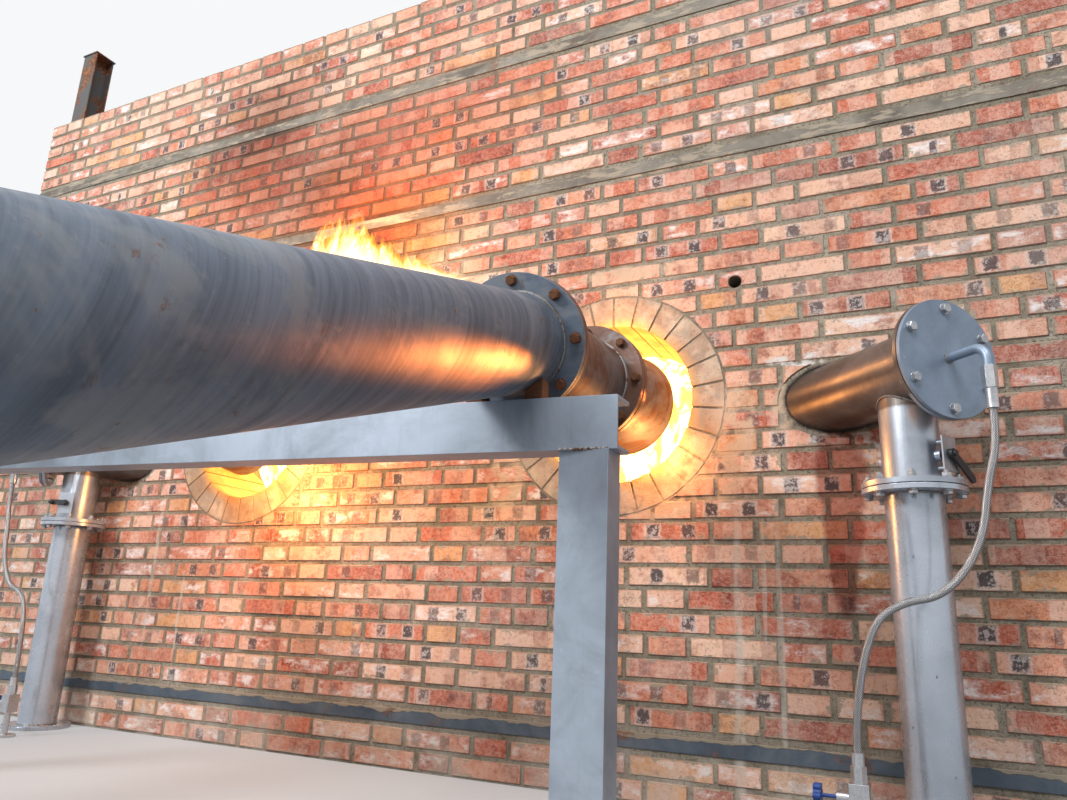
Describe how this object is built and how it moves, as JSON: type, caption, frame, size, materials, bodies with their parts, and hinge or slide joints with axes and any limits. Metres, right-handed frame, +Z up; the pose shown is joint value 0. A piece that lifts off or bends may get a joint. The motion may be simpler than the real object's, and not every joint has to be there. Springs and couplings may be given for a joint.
{
  "type": "hot air furnace",
  "caption": "Brick hot air furnace with round firebrick burner ports, flanged air pipes, side gas burners on risers with dampers, steel bands and a rear outlet.",
  "frame": {"origin": "middle of the furnace's brick base at floor level, halfway along and halfway deep", "axes": "+X along the burner wall to the right as seen from the burners, +Y from the burner wall to the rear, +Z up"},
  "size_m": [5.048, 5.459, 3.428],
  "materials": {
    "red_brick": "rough fired clay with grey mortar",
    "firebrick": "rough pale fireclay",
    "roof_fill": "dusty dry fill",
    "grey_steel": "worn grey coating",
    "silver_paint": "worn silver paint",
    "bright_steel": "brushed",
    "fitting_steel": "satin",
    "blue_grey_steel": "dull",
    "dark_steel": "dull",
    "rusty_steel": "rusted",
    "blue_plastic": "matt",
    "braid": "woven wire",
    "sheet_gasket": "dull"
  },
  "bodies": {
    "furnace": {"air_pipe_left": "grey_steel", "air_pipe_right": "grey_steel", "blind_flange_left": "blue_grey_steel", "blind_flange_right": "blue_grey_steel", "crown_arch": "firebrick", "end_linings": "firebrick", "front_lining": "firebrick", "front_wall": "red_brick", "gas_valve_left": "fitting_steel", "gas_valve_right": "fitting_steel", "gaskets": "sheet_gasket", "hearth": "firebrick", "hose_left": "braid", "hose_right": "braid", "hose_tail_left": "fitting_steel", "hose_tail_right": "fitting_steel", "hose_union_left": "fitting_steel", "hose_union_right": "fitting_steel", "joint_sheets": "sheet_gasket", "left_wall": "red_brick", "nozzle_left": "grey_steel", "nozzle_right": "grey_steel", "outlet_ring": "firebrick", "pipe_chocks": "rusty_steel", "port_ring_left": "firebrick", "port_ring_right": "firebrick", "rear_lining": "firebrick", "rear_wall": "red_brick", "right_wall": "red_brick", "riser_left": "bright_steel", "riser_right": "bright_steel", "roof_cover": "roof_fill", "roof_posts": "rusty_steel", "side_burner_left": "bright_steel", "side_burner_right": "bright_steel", "spool_left": "grey_steel", "spool_right": "grey_steel", "stand_beam": "silver_paint", "stand_posts": "silver_paint", "tie_bands": "rusty_steel"},
    "damper_right": {"damper_right": "dark_steel"},
    "damper_left": {"damper_left": "dark_steel"},
    "valve_wheel_right": {"valve_wheel_right": "blue_plastic"},
    "valve_wheel_left": {"valve_wheel_left": "blue_plastic"}
  },
  "joints": [
    {"name": "damper_right_turn", "type": "hinge", "parent": "furnace", "child": "damper_right", "pos_m": [1.627, -1.691, 0.899], "axis": [0.8645, -0.5026, 0], "range_deg": [0, 90]},
    {"name": "damper_left_turn", "type": "hinge", "parent": "furnace", "child": "damper_left", "pos_m": [-1.556, -1.642, 0.865], "axis": [0.4983, -0.867, 0], "range_deg": [-90, 0]},
    {"name": "valve_wheel_right_turn", "type": "hinge", "parent": "furnace", "child": "valve_wheel_right", "pos_m": [1.481, -1.91, 0.147], "axis": [-1, 0, 0], "range_deg": [0, 720]},
    {"name": "valve_wheel_left_turn", "type": "hinge", "parent": "furnace", "child": "valve_wheel_left", "pos_m": [-1.41, -1.861, 0.113], "axis": [-1, 0, 0], "range_deg": [0, 720]}
  ]
}
